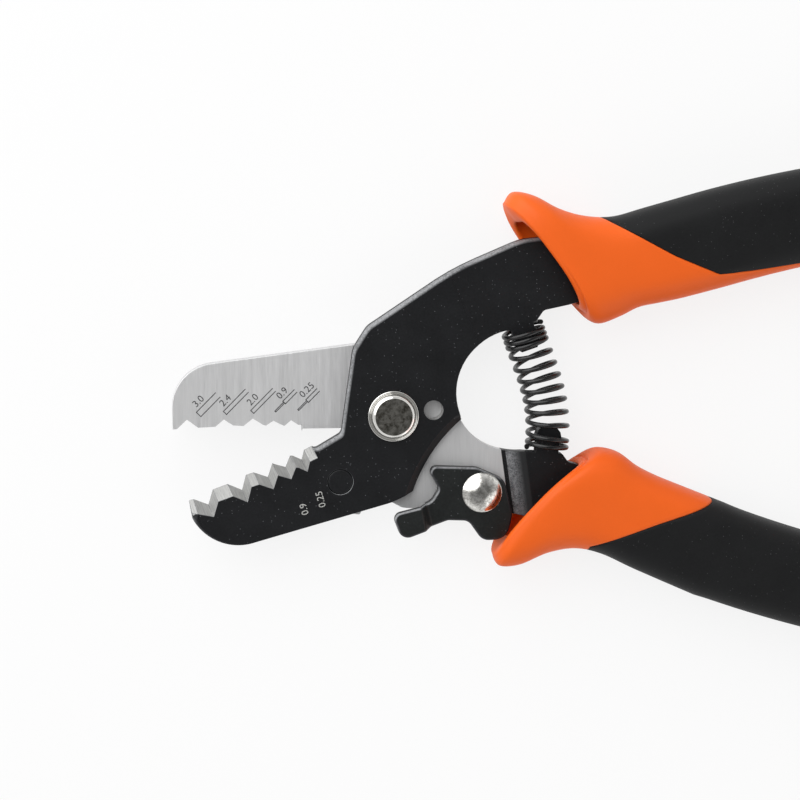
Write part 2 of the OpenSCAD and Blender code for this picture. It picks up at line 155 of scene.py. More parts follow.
MOTTLE = shade_group("mottle", [("Vector", "NodeSocketVector", None), ("Scale", "NodeSocketFloat", 1800.0)],
                     [("Value", "NodeSocketFloat")], build_mottle)


def use_group(tree, group, vector, **values):
    node = tree.nodes.new("ShaderNodeGroup")
    node.node_tree = group
    tree.links.new(vector, node.inputs["Vector"])
    for label, value in values.items():
        node.inputs[label].default_value = value
    return node.outputs[0]


def blend_colour(tree, mask, a, b):
    node = add(tree, "ShaderNodeMix", data_type="RGBA")
    tree.links.new(mask, node.inputs[0])
    for index, value in ((6, a), (7, b)):
        if isinstance(value, tuple):
            node.inputs[index].default_value = (*value, 1.0)
        else:
            tree.links.new(value, node.inputs[index])
    return node.outputs[2]


def finish_material(name):
    mat = bpy.data.materials.new(name)
    mat.use_nodes = True
    tree = mat.node_tree
    shader = tree.nodes["Principled BSDF"]
    place = tree.nodes.new("ShaderNodeTexCoord").outputs["Object"]
    return mat, tree, shader, place


def bump(tree, shader, height, distance, strength=1.0):
    node = add(tree, "ShaderNodeBump", in_Strength=strength, in_Distance=distance)
    tree.links.new(height, node.inputs["Height"])
    tree.links.new(node.outputs["Normal"], shader.inputs["Normal"])


def black_oxide(name="black_oxide", colour=(0.0062, 0.0066, 0.0076), dust=1.24, rough=0.42):
    mat, tree, shader, place = finish_material(name)
    value = use_group(tree, MOTTLE, place, Scale=2600.0)
    tone = remap(tree, value, 0.3, 0.7)
    base = blend_colour(tree, tone, tuple(c * 0.7 for c in colour), tuple(c * 1.5 for c in colour))
    mask = use_group(tree, DUST, place, Scale=1500.0, Level=dust)
    tree.links.new(blend_colour(tree, mask, base, (0.13, 0.135, 0.145)), shader.inputs["Base Color"])
    tree.links.new(remap(tree, value, 0.3, 0.7, rough - 0.05, rough + 0.07), shader.inputs["Roughness"])
    shader.inputs["Specular IOR Level"].default_value = 0.25
    bump(tree, shader, value, 0.00001)
    return mat


def edge_black_wear_and_highlight():
    """The same finish on the rounded edges, with a painted highlight along the upper left ones: edges that face the
    light are made pale, patchy with wear.
    """
    mat, tree, shader, place = finish_material("edge_black_wear_and_highlight")
    value = use_group(tree, MOTTLE, place, Scale=2100.0)
    ways = add(tree, "ShaderNodeSeparateXYZ")
    tree.links.new(tree.nodes.new("ShaderNodeTexCoord").outputs["Normal"], ways.inputs[0])
    facing = math_node(tree, "SUBTRACT", math_node(tree, "MULTIPLY", ways.outputs["Y"], 0.8),
                       math_node(tree, "MULTIPLY", ways.outputs["X"], 0.6))
    wear_and_highlight = math_node(tree, "MULTIPLY", remap(tree, facing, 0.05, 0.5), remap(tree, value, 0.36, 0.56, 0.35, 1.0))
    # painted highlight: pale colour on edges facing up and left, broken up by the mottle
    tree.links.new(blend_colour(tree, wear_and_highlight, (0.011, 0.012, 0.0145), (0.27, 0.275, 0.285)),
                   shader.inputs["Base Color"])
    tree.links.new(remap(tree, value, 0.3, 0.7, 0.34, 0.5), shader.inputs["Roughness"])
    shader.inputs["Specular IOR Level"].default_value = 0.5
    bump(tree, shader, value, 0.00001)
    return mat


def brushed_steel():
    mat, tree, shader, place = finish_material("brushed_steel")
    lines = noise(tree, stretched(tree, place, (9000.0, 260.0, 260.0)), 1.0, 3.0, 0.6)
    wide = noise(tree, stretched(tree, place, (2200.0, 60.0, 60.0)), 1.0, 2.0, 0.5)
    cloud = noise(tree, place, 90.0, 2.0)
    both = math_node(tree, "ADD", math_node(tree, "MULTIPLY", lines, 0.6),
                     math_node(tree, "MULTIPLY", wide, 0.4))
    base = blend_colour(tree, remap(tree, both, 0.32, 0.68), (0.56, 0.56, 0.565), (0.72, 0.72, 0.725))
    tree.links.new(blend_colour(tree, remap(tree, cloud, 0.35, 0.75, 0.0, 0.8), base, (0.66, 0.66, 0.66)),
                   shader.inputs["Base Color"])
    tree.links.new(remap(tree, both, 0.3, 0.7, 0.4, 0.54), shader.inputs["Roughness"])
    shader.inputs["Metallic"].default_value = 0.6
    bump(tree, shader, both, 0.000004)
    return mat


def ground_steel():
    """Bare tooth faces and the wall of the side hole, with the marks of the grinding wheel."""
    mat, tree, shader, place = finish_material("ground_steel")
    turn = add(tree, "ShaderNodeMapping")
    tree.links.new(place, turn.inputs["Vector"])
    turn.inputs["Rotation"].default_value = (0.0, 0.0, math.radians(-JAW))
    lines = noise(tree, stretched(tree, turn.outputs["Vector"], (6500.0, 400.0, 400.0)), 1.0, 3.0, 0.6)
    tree.links.new(blend_colour(tree, remap(tree, lines, 0.3, 0.7), (0.27, 0.27, 0.265), (0.42, 0.42, 0.41)),
                   shader.inputs["Base Color"])
    tree.links.new(remap(tree, lines, 0.3, 0.7, 0.4, 0.52), shader.inputs["Roughness"])
    shader.inputs["Metallic"].default_value = 0.6
    bump(tree, shader, lines, 0.000004)
    return mat


def blasted_slope():
    """Grey grain on the rear plate's slope, a painted highlight of the lit slope, which fades into the black beyond
    it.
    """
    mat, tree, shader, place = finish_material("blasted_slope")
    fine = noise(tree, place, 5200.0, 2.0, 0.7)
    coarse = noise(tree, place, 1500.0, 2.0)
    grain = math_node(tree, "ADD", math_node(tree, "MULTIPLY", fine, 0.7), math_node(tree, "MULTIPLY", coarse, 0.3))
    turn = add(tree, "ShaderNodeMapping")
    tree.links.new(place, turn.inputs["Vector"])
    turn.inputs["Rotation"].default_value = (0.0, 0.0, math.radians(-8.2))
    ways = add(tree, "ShaderNodeSeparateXYZ")
    tree.links.new(turn.outputs["Vector"], ways.inputs[0])
    fade = remap(tree, math_node(tree, "ADD", ways.outputs["X"], math_node(tree, "MULTIPLY", grain, 0.001)),
                 22.2 * MM, 24.2 * MM)
    # painted highlight: grey grain that stands for the light on the slope, faded to black along it
    base = blend_colour(tree, remap(tree, grain, 0.38, 0.62), (0.035, 0.037, 0.04), (0.26, 0.265, 0.275))
    tree.links.new(blend_colour(tree, fade, base, (0.0075, 0.008, 0.009)), shader.inputs["Base Color"])
    shader.inputs["Roughness"].default_value = 0.45
    shader.inputs["Specular IOR Level"].default_value = 0.35
    bump(tree, shader, fine, 0.00002)
    return mat


def nickel(name, scuff, colour=(0.72, 0.71, 0.68)):
    """Nickel plate; scuff is how far its top has been rubbed and stained."""
    mat, tree, shader, place = finish_material(name)
    value = use_group(tree, MOTTLE, place, Scale=2400.0)
    smear = noise(tree, place, 900.0, 3.0, 0.7)
    blotch = math_node(tree, "ADD", math_node(tree, "MULTIPLY", value, 0.5), math_node(tree, "MULTIPLY", smear, 0.5))
    stain = remap(tree, blotch, 0.42, 0.58, 0.0, scuff)
    tree.links.new(blend_colour(tree, stain, colour, (0.07, 0.065, 0.052)), shader.inputs["Base Color"])
    tree.links.new(remap(tree, value, 0.35, 0.65, 0.08, 0.12 + 0.3 * scuff), shader.inputs["Roughness"])
    shader.inputs["Metallic"].default_value = 1.0
    bump(tree, shader, value, 0.00001 * scuff + 0.000001)
    return mat


def painted_wire():
    mat, tree, shader, place = finish_material("painted_wire")
    value = use_group(tree, MOTTLE, place, Scale=3000.0)
    tree.links.new(blend_colour(tree, remap(tree, value, 0.35, 0.65), (0.002, 0.002, 0.0023),
                                (0.006, 0.0063, 0.0068)), shader.inputs["Base Color"])
    tree.links.new(remap(tree, value, 0.35, 0.65, 0.2, 0.34), shader.inputs["Roughness"])
    shader.inputs["Specular IOR Level"].default_value = 0.45
    bump(tree, shader, value, 0.000012)
    return mat


def soft_rubber(name, colour, spread, rough, shine=0.4, speck=0.0):
    """Moulded soft plastic with a fine matt skin."""
    mat, tree, shader, place = finish_material(name)
    value = use_group(tree, MOTTLE, place, Scale=3200.0)
    tone = remap(tree, value, 0.3, 0.7)
    base = blend_colour(tree, tone, tuple(c * (1 - spread) for c in colour),
                        tuple(c * (1 + spread) for c in colour))
    if speck:
        mask = use_group(tree, DUST, place, Scale=1900.0, Level=speck)
        base = blend_colour(tree, mask, base, (0.09, 0.09, 0.095))
    tree.links.new(base, shader.inputs["Base Color"])
    tree.links.new(remap(tree, value, 0.3, 0.7, rough - 0.06, rough + 0.06), shader.inputs["Roughness"])
    shader.inputs["Specular IOR Level"].default_value = shine
    bump(tree, shader, value, 0.00002)
    return mat


BLACK = black_oxide()
# rounded edges, pale on the upper left ones as a painted highlight
EDGE_WEAR_AND_HIGHLIGHT = edge_black_wear_and_highlight()
LOCK_BLACK = black_oxide("lock_black", (0.0105, 0.012, 0.0118), 1.3)
SATIN = brushed_steel()
GROUND = ground_steel()
SLOPE = blasted_slope()
BOLT_SIDE = nickel("bolt_nickel", 0.1)
BOLT_TOP = nickel("rubbed_nickel", 0.95, (0.36, 0.35, 0.32))
RIVET_SHELL = nickel("rivet_nickel", 0.6)
ZINC = nickel("zinc_plate", 0.25, (0.5, 0.5, 0.48))
WIRE = painted_wire()
GRIP = soft_rubber("black_rubber", (0.006, 0.0063, 0.0068), 0.35, 0.6, 0.2, 1.38)
GUARD = soft_rubber("orange_rubber", (0.84, 0.122, 0.009), 0.02, 0.5, 0.26)
MARK = soft_rubber("etched_mark", (0.03, 0.03, 0.032), 0.1, 0.6)
PALE_MARK = soft_rubber("pale_mark", (0.42, 0.42, 0.4), 0.1, 0.6)


# ---------------------------------------------------------------- shaping

def node_shape(node):
    """A merged copy of a CAD node, with its flat faces joined up."""
    bm = bmesh.new()
    bm.from_mesh(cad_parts[node].data)
    bmesh.ops.remove_doubles(bm, verts=bm.verts, dist=0.002 * MM)
    bmesh.ops.dissolve_limit(bm, angle_limit=math.radians(0.3), verts=bm.verts, edges=bm.edges)
    return bm


def settle(bm, name, materials, body, *nodes):
    mesh = bpy.data.meshes.new(name)
    bm.to_mesh(mesh)
    bm.free()
    for mat in materials:
        mesh.materials.append(mat)
    piece = bpy.data.objects.new(name, mesh)
    bpy.context.scene.collection.objects.link(piece)
    if body:
        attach(piece, body)
    if nodes:
        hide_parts(*nodes)
    return piece


def along(point, degrees):
    a = math.radians(degrees)
    return point[0] * math.cos(a) + point[1] * math.sin(a)


def ramp(u, at, soft):
    """0 before at, u - at beyond it, with a soft knee."""
    if u <= at - soft:
        return 0.0
    if u >= at + soft:
        return u - at
    return (u - at + soft) ** 2 / (4 * soft)


def soften_fold(bm, degrees, start, end, rise, soft, centre=(0.0, 0.0)):
    """Cuts strips across a fold and lays them on a smooth curve in place of two creases."""
    a = math.radians(degrees)
    normal = Vector((math.cos(a), math.sin(a), 0.0))
    cuts = []
    for at in (start, end):
        cuts += [at + soft * (i / 4.0 - 1.0) for i in range(9)]
    for cut in sorted(set(round(c, 4) for c in cuts)):
        spot = Vector((centre[0], centre[1], 0.0)) + normal * cut
        bmesh.ops.bisect_plane(bm, geom=bm.verts[:] + bm.edges[:] + bm.faces[:], dist=0.0005 * MM,
                               plane_co=spot * MM, plane_no=normal)
    slope = rise / (end - start)
    for v in bm.verts:
        u = along((v.co.x / MM - centre[0], v.co.y / MM - centre[1]), degrees)
        sharp = slope * (max(0.0, u - start) - max(0.0, u - end))
        smooth = slope * (ramp(u, start, soft) - ramp(u, end, soft))
        v.co.z += (smooth - sharp) * MM


def edge_rounding(bm, width_at, limit=25.0):
    """Gives each outline edge its own share of the rounding; other hard edges stay crisp."""
    layer = bm.edges.layers.float.new("bevel_weight_edge")
    for face in bm.faces:
        face.smooth = True
    for edge in bm.edges:
        if len(edge.link_faces) != 2 or edge.calc_face_angle() < math.radians(limit):
            continue
        width = width_at(edge)
        edge[layer] = width
        if width <= 0:
            edge.smooth = False


def round_over(piece, segments=3, edge_finish=-1):
    mod = piece.modifiers.new("rounding", "BEVEL")
    mod.width = MM
    mod.segments = segments
    mod.material = edge_finish
    mod.limit_method = "WEIGHT"
    mod.use_clamp_overlap = False
    mod.miter_outer = "MITER_SHARP"
    level = piece.modifiers.new("level_faces", "WEIGHTED_NORMAL")
    level.weight = 100
    level.keep_sharp = True
    return piece


def wall_and_face(edge):
    """True where a level face meets a standing wall."""
    a, b = (abs(f.normal.z) for f in edge.link_faces)
    return min(a, b) < 0.25 and max(a, b) > 0.5


def slanted(edge):
    return any(0.12 < abs(f.normal.z) < 0.93 for f in edge.link_faces)


def middle(edge):
    return (edge.verts[0].co + edge.verts[1].co) / 2 / MM


def near(point, centre, reach):
    return (point.to_2d() - Vector(centre)).length < reach


def jaw_tip(bm):
    """Cuts the front jaw off at its second notch and builds its end teeth and round nose again."""
    heading = polar(1, JAW)
    root = Vector((-27.97, -16.11))
    bmesh.ops.bisect_plane(bm, geom=bm.verts[:] + bm.edges[:] + bm.faces[:], dist=0.02 * MM, clear_outer=True,
                           plane_co=(*root * MM, 0), plane_no=(*heading, 0))
    open_end = [v.co / MM for v in bm.verts if v.is_boundary]
    ends = {}
    for height in (FACE, PIVOT_HEAD):
        level = sorted((p.y, p.x) for p in open_end if abs(p.z - height) < 0.05)
        ends[height] = [Vector((x, y)) for y, x in (level[0], level[-1])]
    curve = [Vector(NOSE) + polar(NOSE_R, 285.25 - 78.25 * i / 20) for i in range(21)]
    ridge = [(-39.11, -15.92), (-38.22, -15.72), (-35.39, -16.85), (-34.53, -13.93), (-31.68, -12.94)]
    foot = [(-38.45, -18.5), (-37.5, -18.2), (-34.44, -18.81), (-33.58, -15.89), (-30.73, -14.89)]
    rings = []
    for height, teeth in ((FACE, ridge), (PIVOT_HEAD, foot)):
        heel, notch = ends[height]
        points = [heel] + curve + [Vector(t) for t in teeth] + [notch]
        rings.append([bm.verts.new((p.x * MM, p.y * MM, height * MM)) for p in points])
    low, high = rings
    for i in range(len(low) - 1):
        bm.faces.new((low[i], low[i + 1], high[i + 1], high[i]))
    bm.faces.new(low)
    bm.faces.new(high)
    bmesh.ops.remove_doubles(bm, verts=bm.verts, dist=0.02 * MM)
    bmesh.ops.recalc_face_normals(bm, faces=bm.faces)
    bmesh.ops.dissolve_limit(bm, angle_limit=math.radians(0.3), verts=bm.verts, edges=bm.edges)


def front_plate():
    bm = node_shape("front_lever_plate")
    jaw_tip(bm)
    soften_fold(bm, 23, 20.45, 26.1, -1.25, 0.55)
    hole = Vector((7.8, 1.0))
    for face in bm.faces:
        c = face.calc_center_median() / MM
        in_hole = (Vector((c.x, c.y)) - hole).length < 2.0 and abs(face.normal.z) < 0.3
        near_teeth = c.x < -14 and c.y > c.x * 0.486 - 4
        if in_hole or (near_teeth and 0.3 < abs(face.normal.z) < 0.85):
            face.material_index = 1

    def width_at(edge):
        m = middle(edge)
        if any(f.material_index == 1 for f in edge.link_faces):
            return 0.05
        if slanted(edge) and m.x < -14:
            return 0.08
        if not wall_and_face(edge):
            return 0.0
        if near(m, (7.8, 1.0), 2.2) or near(m, (0, 0), 3.6) or near(m, (-10.2, -12.6), 2.8):
            return 0.12
        if m.z < FACE + 0.6 or near(m, (25.5, 15.5), 6.5):
            return 0.12
        wall = min(edge.link_faces, key=lambda f: abs(f.normal.z)).normal
        nose = max(0.0, -wall.x) if m.x < -25 else 0.0
        return 0.12 + 0.75 * max(0.0, -wall.x * 0.6 + wall.y * 0.8) + 0.45 * nose

    edge_rounding(bm, width_at)
    piece = settle(bm, "front_plate", [BLACK, GROUND, EDGE_WEAR_AND_HIGHLIGHT], "front_lever", "front_lever_plate")
    return round_over(piece, 4, 2)


def rear_plate():
    bm = node_shape("rear_lever_plate")
    a = math.radians(8.2)
    normal = Vector((math.cos(a), math.sin(a), 0.0))
    bmesh.ops.bisect_plane(bm, geom=bm.verts[:] + bm.edges[:] + bm.faces[:], dist=0.0005 * MM,
                           plane_co=normal * 20.05 * MM, plane_no=normal)
    soften_fold(bm, 8.2, 20.87, 24.5, 1.25, 0.35)
    for face in bm.faces:
        c = face.calc_center_median() / MM
        reach = along((c.x, c.y), 8.2)
        # the upward faces of the slope take the painted highlight
        if 20.87 < reach < 24.6 and face.normal.z > 0.3:
            face.material_index = 3
        elif reach > 20.05:
            face.material_index = 1
        elif c.x < -14 and 0.3 < abs(face.normal.z) < 0.85:
            face.material_index = 2

    def width_at(edge):
        if any(f.material_index == 2 for f in edge.link_faces):
            return 0.05
        if not wall_and_face(edge) or near(middle(edge), (-14.5, -4.0), 5.0):
            return 0.0
        return 0.12

    edge_rounding(bm, width_at)
    finishes = [SATIN, BLACK, GROUND, SLOPE]
    return round_over(settle(bm, "rear_plate", finishes, "rear_lever", "rear_lever_plate"))


def lathe(name, profile, centre, materials, body, nodes, steps=96, bands=()):
    """Spins a profile of (radius, height) pairs round an upright axis; bands give a height-ordered finish."""
    bm = bmesh.new()
    chain = [bm.verts.new((r * MM, 0.0, z * MM)) for r, z in profile]
    for a, b in zip(chain, chain[1:]):
        bm.edges.new((a, b))
    bmesh.ops.spin(bm, geom=bm.verts[:] + bm.edges[:], cent=(0, 0, 0), axis=(0, 0, 1), angle=math.tau,
                   steps=steps, use_merge=True)
    bmesh.ops.remove_doubles(bm, verts=bm.verts, dist=0.0005 * MM)
    bmesh.ops.recalc_face_normals(bm, faces=bm.faces)
    bmesh.ops.translate(bm, verts=bm.verts, vec=Vector(centre) * MM)
    for face in bm.faces:
        face.smooth = True
        c = face.calc_center_median() / MM - Vector(centre)
        for index, (radius, low) in enumerate(bands, 1):
            if c.to_2d().length < radius and c.z > low:
                face.material_index = index
    for edge in bm.edges:
        if len(edge.link_faces) == 2 and edge.calc_face_angle() > math.radians(38):
            edge.smooth = False
    return settle(bm, name, materials, body, *nodes)


def arc(cx, cz, r, start, end, steps):
    return [(cx + r * math.cos(math.radians(start + (end - start) * i / steps)),
             cz + r * math.sin(math.radians(start + (end - start) * i / steps))) for i in range(steps + 1)]


def pivot_bolt():
    """Flat-topped head with a turned rim, and the threaded end that shows in the nut."""
    top = PIVOT_HEAD + 1.5
    profile = [(0, top)] + arc(3.5, top - 0.22, 0.22, 90, 36, 5)
    profile += arc(3.3, top - 1.02, 1.0, 58, 8, 8) + [(4.3, top - 1.0), (4.42, top - 1.02)]
    profile += arc(4.66, top - 1.12, 0.24, 135, 0, 7)
    profile += [(4.9, PIVOT_HEAD + 0.08), (4.82, PIVOT_HEAD), (3.2, PIVOT_HEAD), (3.2, 5.02), (2.5, 5.02),
                (2.5, 0.4), (2.1, 0.0), (0, 0.0)]
    return lathe("pivot_bolt_turned", profile, (0, 0, 0), [BOLT_SIDE, BOLT_TOP], "front_lever", ["pivot_bolt"],
                 bands=[(3.56, PIVOT_HEAD + 1.3)])


def lock_rivet():
    base = LOCK_Z + LOCK_T + 0.05
    radius, height = 3.9, 1.5
    dome = (radius ** 2 + height ** 2) / (2 * height)
    reach = math.degrees(math.asin(radius / dome))
    profile = [(dome * math.sin(math.radians(reach * i / 20)),
                base + height - dome + dome * math.cos(math.radians(reach * i / 20))) for i in range(20)]
    profile += [(radius - 0.02, base + 0.09), (radius, base + 0.03), (radius - 0.06, base), (1.9, base),
                (1.9, 5.0), (3.1, 5.0), (3.1, 4.35), (2.85, 4.1), (0, 4.1)]
    return lathe("lock_rivet_domed", profile, (*RIVET, 0), [RIVET_SHELL], "rear_lever", ["lock_rivet"])


def finished_copy(node, name, materials, body, width, limit=25.0, segments=2):
    bm = node_shape(node)
    edge_rounding(bm, lambda edge: width if wall_and_face(edge) else 0.0, limit)
    return round_over(settle(bm, name, materials, body, node), segments)


def lock_piece():
    bm = node_shape("lock_lever")
    soften_fold(bm, 191.3, 10.9, 12.3, 2.4, 0.3, RIVET)
    edge_rounding(bm, lambda edge: 0.42 if wall_and_face(edge) and middle(edge).z > LOCK_Z + 0.8
                  and (middle(edge).to_2d() - Vector(RIVET)).length > 2.2 else 0.0)
    return round_over(settle(bm, "lock_plate", [LOCK_BLACK, EDGE_WEAR_AND_HIGHLIGHT], "lock", "lock_lever"), 4, 1)


# Spring: the same bowed line and coil as the part's source
FRONT_POST, FRONT_DIR = Vector((25.1, 16.85)), -71.6
REAR_POST, REAR_DIR = Vector((30.2, -7.97)), 84.5
WIRE_D, COIL_R, TURNS = 0.95, 3.85, 12.5
TIGHT_TOP, TIGHT_LOW = 3.0, 1.5


def spring_line():
    seat = WIRE_D / 2 + 0.15
    a = FRONT_POST + polar(seat, FRONT_DIR)
    b = REAR_POST + polar(seat, REAR_DIR)
    return a, a + polar(10, FRONT_DIR), b + polar(10, REAR_DIR), b


def bow(t):
    p = spring_line()
    return (1 - t) ** 3 * p[0] + 3 * (1 - t) ** 2 * t * p[1] + 3 * (1 - t) * t * t * p[2] + t ** 3 * p[3]


def bow_heading(t):
    p = spring_line()
    return (3 * (1 - t) ** 2 * (p[1] - p[0]) + 6 * (1 - t) * t * (p[2] - p[1])
            + 3 * t * t * (p[3] - p[2])).normalized()


def cover(k):
    close = 1.04 * WIRE_D / 25.5
    if k < TIGHT_TOP:
        return k * close
    if k > TURNS - TIGHT_LOW:
        return 1 - (TURNS - k) * close
    share = (k - TIGHT_TOP) / (TURNS - TIGHT_TOP - TIGHT_LOW)
    return TIGHT_TOP * close * (1 - share) + (1 - TIGHT_LOW * close) * share


def coil_point(k, r):
    t = cover(k)
    c, d, a = bow(t), bow_heading(t), math.radians(360 * k + 180)
    return Vector((c.x + d.y * r * math.cos(a), c.y - d.x * r * math.cos(a), FACE + r * math.sin(a))) * MM


def return_spring():
    """A round wire carried along the coil ring by ring."""
    per_turn, sides = 30, 14
    count = int(TURNS * per_turn)
    bm = bmesh.new()
    share = bm.verts.layers.float.new("share")
    ring = []
    for i in range(count + 1):
        k = TURNS * i / count
        p, q, o = coil_point(k, COIL_R), coil_point(k + 0.002, COIL_R), coil_point(k, COIL_R - 1)
        forward = (q - p).normalized()
        out = (p - o).normalized()
        out = (out - forward * out.dot(forward)).normalized()
        side = forward.cross(out)
        if not ring:
            made = bmesh.ops.create_circle(bm, cap_ends=False, radius=WIRE_D / 2 * MM, segments=sides)["verts"]
            edges = list({e for v in made for e in v.link_edges})
        else:
            made = bmesh.ops.extrude_edge_only(bm, edges=edges)["geom"]
            edges = [g for g in made if isinstance(g, bmesh.types.BMEdge)
                     and all(v not in ring for v in g.verts)]
            made = [g for g in made if isinstance(g, bmesh.types.BMVert)]
        made = sorted(made, key=lambda v: v.index) if not ring else made
        if ring:
            order = []
            for v in ring:
                order.append(next(e.other_vert(v) for e in v.link_edges if e.other_vert(v) in made))
            made = order
        for j, v in enumerate(made):
            a = math.tau * j / sides
            v.co = p + (out * math.cos(a) + side * math.sin(a)) * (WIRE_D / 2 * MM)
            v[share] = min(1.0, max(0.0, (k - TIGHT_TOP) / (TURNS - TIGHT_TOP - TIGHT_LOW)))
        if not ring:
            first = list(edges)
        ring = made
    bmesh.ops.edgeloop_fill(bm, edges=first)
    bmesh.ops.edgeloop_fill(bm, edges=edges)
    bmesh.ops.recalc_face_normals(bm, faces=bm.faces)
    for face in bm.faces:
        face.smooth = len(face.verts) == 4
    piece = settle(bm, "coiled_spring", [WIRE], None, "return_spring")
    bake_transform(piece)
    source = [0.0] * len(piece.data.vertices)
    piece.data.attributes["share"].data.foreach_get("value", source)
    piece.data.attributes.remove(piece.data.attributes["share"])
    return piece


# Grips: rows of outer x, y, inner x, y, share of the half thickness, and how far the row's front
# and its back lie behind its middle
UPPER_ROWS = [[21.8, 40.5, 37.6, 19.4, .93, 1.3, -1.0], [23.4, 42.4, 38.1, 17.8, 1, 1.2, -.9],
              [27.2, 41.8, 40.3, 17.1, 1.04, .8, -.6], [32.1, 39.3, 44.2, 18.5, 1.02, .3, -.2],
              [37.3, 37.8, 47.7, 20.2, 1, 0, 0], [43, 37.6, 51.7, 21, 1, 0, 0],
              [49.5, 39.3, 56.7, 22, 1.02, 0, 0], [60.6, 42.35, 65.5, 24.2, 1.04, 0, 0]]
LOWER_ROWS = [[19.9, -28.2, 38.1, -9.5, .93, -1.8, -1.3], [20.9, -30.1, 38.6, -8.6, 1, -1.6, -1.2],
              [24.7, -29.9, 40.8, -7.5, 1.04, -1.1, -.8], [30, -27.7, 44.6, -8.4, 1.02, -.4, -.3],
              [35.5, -26.9, 48.3, -11.1, 1, 0, 0], [41, -28.2, 52, -13.1, 1, 0, 0],
              [47.8, -31.5, 56.9, -15.2, 1.02, 0, 0], [59.6, -36.9, 66.4, -19.1, 1.04, 0, 0]]
UPPER_SIDE = [(0, 60), (38.6, 60), (40.1, 37.7), (53.6, 30.4), (62.2, 26.8), (69, 27.4), (91, 30.4), (92, 0), (0, 0)]
LOWER_SIDE = [(0, -60), (36.6, -60), (38.1, -26), (51.3, -21.4), (64.5, -17.4), (66, 0), (0, 0)]
GRIP_T, GRIP_W, GRIP_LEN, GRIP_TURN = 15.0, 18.8, 78.0, 19.0


def smooth4(a, b, c, d, t):
    return [0.5 * (2 * q + (r - p) * t + (2 * p - 5 * q + 4 * r - s) * t * t
                   + (3 * q - p - 3 * r + s) * t ** 3) for p, q, r, s in zip(a, b, c, d)]


def handle_row(last, heading, side, s, shrink):
    mid = Vector(((last[0] + last[2]) / 2, (last[1] + last[3]) / 2))
    turn = -side * GRIP_TURN
    r = GRIP_LEN / math.radians(GRIP_TURN)
    h = heading + turn * s
    a, b = math.radians(heading), math.radians(h)
    mid += side * r * Vector((math.sin(a) - math.sin(b), -math.cos(a) + math.cos(b)))
    w = GRIP_W * (1 - 0.06 * s) / 2 * shrink
    out = polar(w, h + 90 * side)
    return [mid.x + out.x, mid.y + out.y, mid.x - out.x, mid.y - out.y, 1.04 * shrink, 0, 0]


def grip_rows(rows, heading, side, sub=8, steps=24, ends=12):
    fine = []
    n = len(rows)
    for i in range(n - 1):
        fine += [smooth4(rows[max(0, i - 1)], rows[i], rows[i + 1], rows[min(n - 1, i + 2)], k / sub)
                 for k in range(sub)]
    fine.append(rows[-1])
    tail = GRIP_W / 2 / GRIP_LEN
    fine += [handle_row(rows[-1], heading, side, (1 - tail) * i / steps, 1) for i in range(1, steps + 1)]
    fine += [handle_row(rows[-1], heading, side, 1 - tail + tail * math.sin(math.radians(88 * i / ends)),
                        math.cos(math.radians(88 * i / ends))) for i in range(1, ends + 1)]
    return fine


def soft_min(a, b, k):
    return min(a, b) - max(k - abs(a - b), 0.0) ** 2 / (4 * k)


def skin_point(rows, s, share, inset=0.0):
    """Point on the sleeve at row s (a number with a fraction) and share of the way round."""
    s = min(max(s, 0.0), len(rows) - 1.0001)
    i = int(s)
    row = [p * (1 - s + i) + q * (s - i) for p, q in zip(rows[i], rows[i + 1])]
    o, n = Vector(row[0:2]), Vector(row[2:4])
    m, u = (o + n) / 2, (o - n)
    w = u.length / 2 - inset
    u.normalize()
    h = row[4] * GRIP_T / 2 - inset
    flat = GRIP_T / 2 - inset
    a = math.tau * share
    ca, sa = math.cos(a), math.sin(a)
    x = math.copysign(abs(ca) ** 0.72, ca) * w
    z = math.copysign(soft_min(abs(sa) ** 0.72 * h, flat, 1.0), sa)
    back = Vector((abs(u.y), -u.x * math.copysign(1, u.y))) * row[5 if sa > 0 else 6] * sa * sa
    return Vector((m.x + u.x * x + back.x, m.y + u.y * x + back.y, FACE + z))


def inside(outline, p):
    hit = False
    for (ax, ay), (bx, by) in zip(outline, outline[1:] + outline[:1]):
        if (ay > p.y) != (by > p.y) and p.x < ax + (p.y - ay) * (bx - ax) / (by - ay):
            hit = not hit
    return hit


def split_rows(rows, outline, around):
    """Where each line along the sleeve leaves the guard."""
    found = []
    for j in range(around):
        s = 1.0
        while inside(outline, skin_point(rows, s, j / around)):
            s += 0.5
        low, high = s - 0.5, s
        for _ in range(18):
            mid = (low + high) / 2
            if inside(outline, skin_point(rows, mid, j / around)):
                low = mid
            else:
                high = mid
        found.append(low)
    return found


def rings_to_skin(name, rings, materials, body, node, close_start=True, close_end=True, sharp=()):
    """Joins ring after ring of points into one skin."""
    bm = bmesh.new()
    loops = []
    for ring in rings:
        verts = [bm.verts.new(p * MM) for p in ring]
        loops.append([bm.edges.new((a, b)) for a, b in zip(verts, verts[1:] + verts[:1])])
    for a, b in zip(loops, loops[1:]):
        bmesh.ops.bridge_loops(bm, edges=a + b)
    if close_start:
        bmesh.ops.edgeloop_fill(bm, edges=loops[0])
    if close_end:
        bmesh.ops.edgeloop_fill(bm, edges=loops[-1])
    bmesh.ops.recalc_face_normals(bm, faces=bm.faces)
    for face in bm.faces:
        face.smooth = len(face.verts) == 4
    for index in sharp:
        for edge in loops[index]:
            edge.smooth = False
    return settle(bm, name, materials, body, node)


